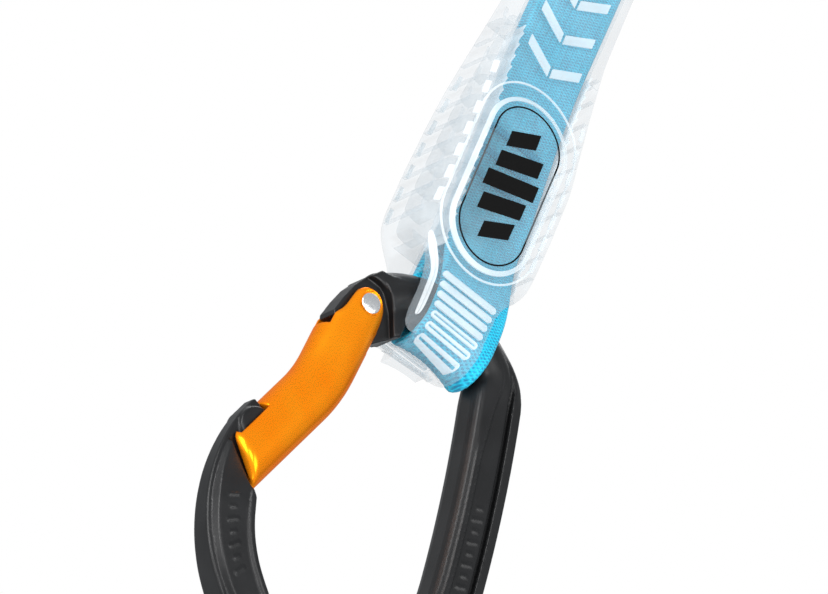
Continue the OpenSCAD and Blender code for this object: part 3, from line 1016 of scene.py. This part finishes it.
def keeper_outer(x, y, z):
    zd = z + sag(x, z)
    front = np.maximum(keeper_side(zd, 1) - x, x - keeper_side(zd, 2)) * 0.85
    front = smooth_max(front, np.maximum(-10.4 - zd, z - 91.9), 1.5)
    half = keeper_side(zd, 3)
    side = np.where(zd > -2, np.abs(y) - half, np.hypot(y, zd + 2) - 8.2)
    outer = smooth_max(front, side, 3.6)
    tab = np.maximum(np.maximum(-10.6 - x, x - 0.4), np.maximum(-0.2 - y, y - 3.4))
    tab = np.maximum(tab, np.maximum(-11.5 - zd, zd + 8.5))
    return smooth_min(outer, tab, 0.4)


def webbing_room(x, y, z, gap):
    left, right = strap_edges(z)
    z = z + sag(x, z) - LOOP_LIFT * (1 - ease(z, -3, 7))
    wide = np.maximum(left - gap - x, x - right - gap)
    reach = ply_centre(z) + PLY_T / 2 + gap
    deep = np.where(z > LOOP_Z, np.abs(y) - reach, np.hypot(y, z - LOOP_Z) - LOOP_R - PLY_T / 2 - gap)
    return np.maximum(wide, deep)


def keeper_skin(x, y, z):
    """The keeper's outer surface as if it were solid, with its raised pad."""
    pad = stadium(x, z, PAD_X, PAD_Z, PAD_HALF, PAD_R)
    return keeper_outer(x, y, z) - 0.7 * ease(-pad, -0.5, 0.5) * (y < 0)


def keeper_field(x, y, z):
    shell = keeper_outer(x, y, z)
    ay = np.abs(y)
    half = keeper_side(z, 3)
    phase = (z - RIBS_LOW) % RIB_PITCH - RIB_PITCH / 2
    cell = np.abs(phase) - RIB_PITCH / 2 + 0.8
    ribbed = (z > RIBS_LOW) & (z < RIBS_HIGH)
    outer = keeper_skin(x, y, z)
    # pockets along both flanks, between the ribs
    depth = np.minimum(x - keeper_side(z, 1), keeper_side(z, 2) - x)
    pocket = np.maximum(np.maximum(depth - 1.0, ay - half + 2.4), cell + 0.3)
    outer = np.where(ribbed, smooth_max(outer, -pocket, 0.25), outer)
    # inside: room for the webbing, and cells between the inner ribs
    room = webbing_room(x, y, z, 0.3)
    left, right = strap_edges(z)
    beside = np.minimum(x - left + 1.4, right + 1.4 - x)
    room = np.minimum(room, np.where(ribbed, np.maximum(np.maximum(shell + 1.9, cell), beside), 5.0))
    bar = np.maximum(ay - 5.6, np.maximum(z - 7.6, -3.0 - z))
    block = np.maximum(np.maximum(x + 7.7, ay - 5.6), z - 7.6)
    window = np.maximum(ay - 3.4, np.maximum(8.9 - z, z - 10.3))
    slit = np.maximum(np.maximum(np.abs(z - 60.5) - 0.35, 6 - np.abs(x - KEEPER_X)), ay - 2.6)
    for opening in (bar, block, window, slit):
        room = np.minimum(room, opening)
    return smooth_max(outer, -room, 0.2)


def make_keeper(materials):
    step = 0.43
    points, faces = contour(keeper_field, (-20, -10.5, -16), (11.5, 9.6, 93), step)
    piece = add_piece("clear_keeper", LOWER.world(points), faces, materials["clear_rubber"],
                      "clear_rubber", 42)
    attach(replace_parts(piece, "rubber_keeper"), "sling")


def front_of_keeper(x, z):
    """y of the keeper's front surface at each x and z."""
    near, far = np.full(np.shape(x), -10.4), np.full(np.shape(x), -0.5)
    for _ in range(26):
        middle = (near + far) / 2
        solid = keeper_skin(x, middle, z) < 0
        far = np.where(solid, middle, far)
        near = np.where(solid, near, middle)
    return far


def patch(outer, inner, lift):
    """A thin shape raised on the keeper's front, between two outlines, or filled if inner is None."""
    outer = np.asarray(outer, float)
    rings = 2
    if inner is None:
        inner = outer.mean(0) + (outer - outer.mean(0)) * 0.001
        rings = 9
    inner = np.asarray(inner, float)
    n = len(outer)
    flat = np.concatenate([outer + (inner - outer) * k / (rings - 1) for k in range(rings)])
    y = front_of_keeper(flat[:, 0], flat[:, 1])
    top = np.stack([flat[:, 0], y - lift, flat[:, 1]], 1)
    bottom = np.stack([flat[:, 0], y + 0.05, flat[:, 1]], 1)
    inwards_out = bottom.reshape(rings, n, 3)[::-1].reshape(-1, 3)
    return np.concatenate([top, inwards_out]), ring_faces(2 * rings, n, True)


def round_outline(cx, cz, r, half_x, half_z, count):
    """A circle whose halves are moved apart sideways or upwards."""
    points = []
    for i in range(count):
        a = 2 * math.pi * i / count
        x, z = math.cos(a), math.sin(a)
        points.append((cx + r * x + math.copysign(half_x, x), cz + r * z + math.copysign(half_z, z)))
    return points


def pad_ring(rise, half, outer_r, inner_r, lift):
    """A line round the pad, between two radii."""
    outer, inner = (round_outline(PAD_X, PAD_Z + rise, r, 0, half, 120) for r in (outer_r, inner_r))
    return patch(outer, inner, lift)


def bar_outline(cx, cz, length, width, slant, count=10):
    """A bar as wide as width along x, its ends slanted, its outline cut into short steps."""
    corners = [(-width / 2, -length / 2 - slant), (width / 2, -length / 2 + slant),
               (width / 2, length / 2 + slant), (-width / 2, length / 2 - slant)]
    points = []
    for (ax, az), (bx, bz) in zip(corners, corners[1:] + corners[:1]):
        for i in range(count):
            t = i / count
            points.append((cx + ax + (bx - ax) * t, cz + az + (bz - az) * t))
    return points


def grip_outline(left, right, z, r):
    return round_outline((left + right) / 2, z, r, (right - left) / 2 - r, 0, 48)


def liner(side):
    """The scalloped wall that stands beside the webbing, on its left or right side."""
    rows = np.arange(12.0, 62.0, 0.26)
    edge = strap_edges(rows)[0 if side < 0 else 1] + side * 0.45
    front = -4.6 + 1.0 * np.abs(np.sin(np.pi * rows / 2.6)) + 0.035 * np.maximum(rows - 30, 0)
    half, back = 0.13, 3.0
    outlines = [((-half, y), (half, y), (half, back), (-half, back)) for y in front]
    path = np.stack([edge, 0 * rows, rows], 1)
    across = [np.eye(3)[:2]] * len(rows)
    faces = ring_faces(len(rows), 4, False)
    last = 4 * (len(rows) - 1)
    ends = [[3, 2, 1, 0], [last, last + 1, last + 2, last + 3]]
    return np.concatenate(sweep(path, across, outlines)), faces + ends


def edge_band():
    """Outer and inner outline of the thick left edge of the strap."""
    spine = np.array([(-15.2, 10.4), (-13.6, 8.6), (-12.3, 6.9), (-11.1, 5.0), (-10.3, 2.8), (-10.1, 0.0),
                      (-10.0, -3.0), (-10.0, -5.5), (-10.0, -7.0)])
    fine = np.stack([table(np.linspace(0.4, 7.6, 50), list(zip(range(9), spine[:, i])), 0.4)
                     for i in (0, 1)], 1)
    tangent = np.gradient(fine, axis=0)
    tangent /= np.linalg.norm(tangent, axis=1)[:, None]
    aside = np.stack([-tangent[:, 1], tangent[:, 0]], 1)
    half = 0.42 * np.sqrt(1 - np.linspace(-1, 1, 50)[:, None] ** 6) + 0.06
    outline = np.concatenate([fine - aside * half, (fine + aside * half)[::-1]])
    inner = np.concatenate([fine - aside * 0.05, (fine + aside * 0.05)[::-1]])
    return outline, inner


def make_print(materials):
    points, faces = pad_ring(0, 9.7, 7.6, 7.3, 0.08)
    ring = add_piece("pad_outline", LOWER.world(points), faces, materials["print"], "label", 60)
    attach(ring, "sling")
    bars = [patch(bar_outline(PAD_X + shift, PAD_Z + z, 3.6, width, 1.7), None, 0.08)
            for z, width, shift in ((-10, 6, 1), (-5, 9, 0), (0, 11, 0), (5, 9, 0), (10, 6, -1))]
    points, faces = joined(bars)
    mark = add_piece("pad_bars", LOWER.world(points), faces, materials["print"], "label", 60)
    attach(mark, "sling")


def turned_to_back(part):
    points, faces = part
    return points * np.array([1, -1, 1]), [face[::-1] for face in faces]


def make_keeper_ribs(materials):
    """The thicker lines of the moulding: pad frame, grip ribs, tabs and chevrons, in whiter rubber that is
    partly the thicker moulding and partly painted highlight on the raised lines.
    """
    frame_line = pad_ring(0, PAD_HALF, PAD_R, 8.5, 0.3)
    outer_line = pad_ring(1, 10.4, 11.4, 11.0, 0.2)
    parts = [frame_line, outer_line, patch(*edge_band(), 0.25), liner(-1), liner(1)]
    both_sides = []
    for k in range(7):
        z = 3.7 - 2.08 * k
        left, right = -9.0 + 0.3 * k, 3.9 - 0.12 * k
        inner = None if k < 4 else grip_outline(left + 0.4, right - 0.4, z, 0.22)
        both_sides.append(patch(grip_outline(left, right, z, 0.64), inner, 0.4))
    # dashes of painted highlight along the front edges of both flanks, one at each rib, raised a little
    for k in range(7):
        inwards = max(0, k - 3)
        for x in (-16.2 + 0.15 * inwards, 7.0 - 0.25 * inwards):
            tab = bar_outline(x, 17.0 + RIB_PITCH * k, 3.0, 1.0, 0.2, 5)
            both_sides.append(patch(tab, None, 0.2))
    for k in range(4):
        for side in (-1, 1):
            chevron = bar_outline(PAD_X - 0.6 + 3.3 * side, 57 + 8.5 * k, 2.2, 6.0, 1.8 * side)
            both_sides.append(patch(chevron, None, 0.25))
    points, faces = joined(parts + both_sides + [turned_to_back(part) for part in both_sides])
    ribs = add_piece("keeper_ribs", LOWER.world(points), faces, materials["milky_rubber_painted_highlight"],
                     "clear_rubber", 60)
    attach(ribs, "sling")


# -------- the scene


def make_floor(material):
    size, z = 14.0, -3.0
    mesh = bpy.data.meshes.new("floor")
    mesh.from_pydata([(-size, -size, z), (size, -size, z), (size, size, z), (-size, size, z)], [],
                     [(0, 1, 2, 3)])
    mesh.materials.append(material)
    floor = bpy.data.objects.new("floor", mesh)
    bpy.context.scene.collection.objects.link(floor)


aim, right, up, back = make_camera()
make_light(aim, right, up, back)
materials = make_materials()
make_floor(materials["floor"])
make_forgings(materials)
make_steel(materials)
make_webbing(materials)
make_stitching(materials)
make_label(materials)
make_keeper(materials)
make_keeper_ribs(materials)
make_print(materials)
